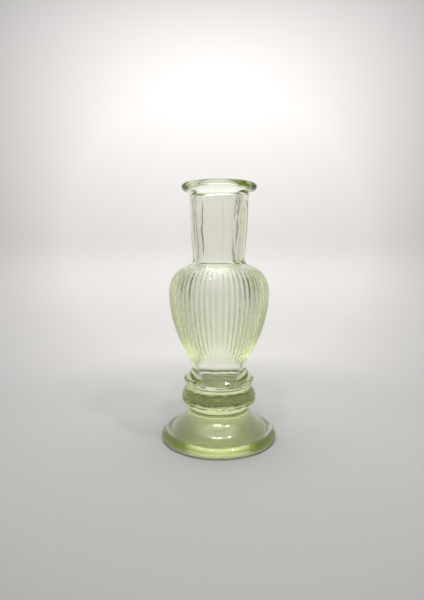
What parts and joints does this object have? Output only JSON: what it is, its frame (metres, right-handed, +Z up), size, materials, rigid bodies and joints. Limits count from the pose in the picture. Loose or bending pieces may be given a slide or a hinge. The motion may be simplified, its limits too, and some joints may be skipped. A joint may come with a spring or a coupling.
{
  "type": "glass bud vase",
  "caption": "Small pale green glass bud vase: fluted bulbous bowl, straight neck with a rolled lip, stacked round knops and a wide round foot.",
  "frame": {"origin": "centre of the circle of the foot, on the surface the vase stands on", "axes": "+Z up along the vase's axis, from the foot to the mouth; the vase is round, so +X and +Y are free"},
  "size_m": [0.057, 0.057, 0.1245],
  "materials": {
    "green_glass": "clear fire-polished pressed glass, pale yellow-green, deeper where it is thick"
  },
  "bodies": {
    "root": {"foot_rim": "green_glass", "foot_dome": "green_glass", "lower_knop": "green_glass", "upper_knop": "green_glass", "fluted_bowl": "green_glass", "bowl_shoulder": "green_glass", "neck_collar": "green_glass", "neck": "green_glass", "rolled_lip": "green_glass"}
  },
  "joints": []
}
